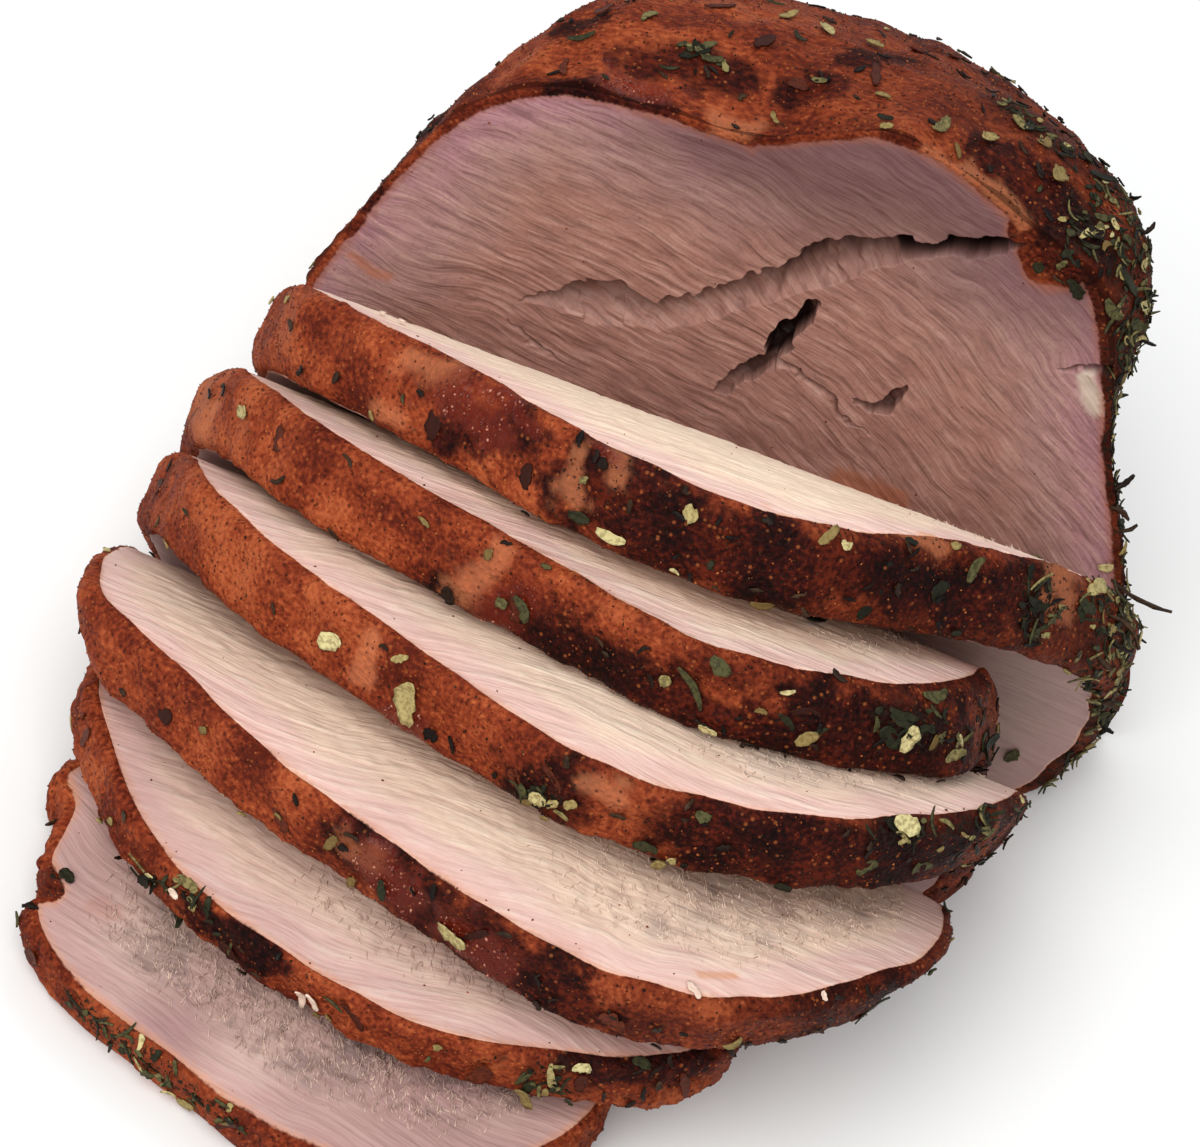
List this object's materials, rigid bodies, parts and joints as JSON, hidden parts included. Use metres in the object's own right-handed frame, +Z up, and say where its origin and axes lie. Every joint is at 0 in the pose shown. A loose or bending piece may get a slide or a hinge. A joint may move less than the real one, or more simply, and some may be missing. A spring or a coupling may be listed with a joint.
{
  "type": "roast pork shoulder",
  "caption": "Carved roast pork shoulder: an uncut crusted block with leaning slices fanned out from its flat cut face.",
  "frame": {"origin": "at the height of the flat underside, below the middle of the bounding box", "axes": "+X to the right along the cut face, +Y from the slices to the uncut block, +Z up"},
  "size_m": [0.1232, 0.1696, 0.0771],
  "materials": {
    "block_crust": "browned spice crust with herb flakes, satin, some wet gloss; cut face brownish pink",
    "sliced_meat": "moist cut pork, cream to pink, with a browned spice crust along the edge"
  },
  "bodies": {
    "root": {"roast_block": "block_crust", "slice_1": "sliced_meat", "slice_2": "sliced_meat", "slice_3": "sliced_meat", "slice_4": "sliced_meat", "slice_5": "sliced_meat", "slice_6": "sliced_meat"}
  },
  "joints": []
}
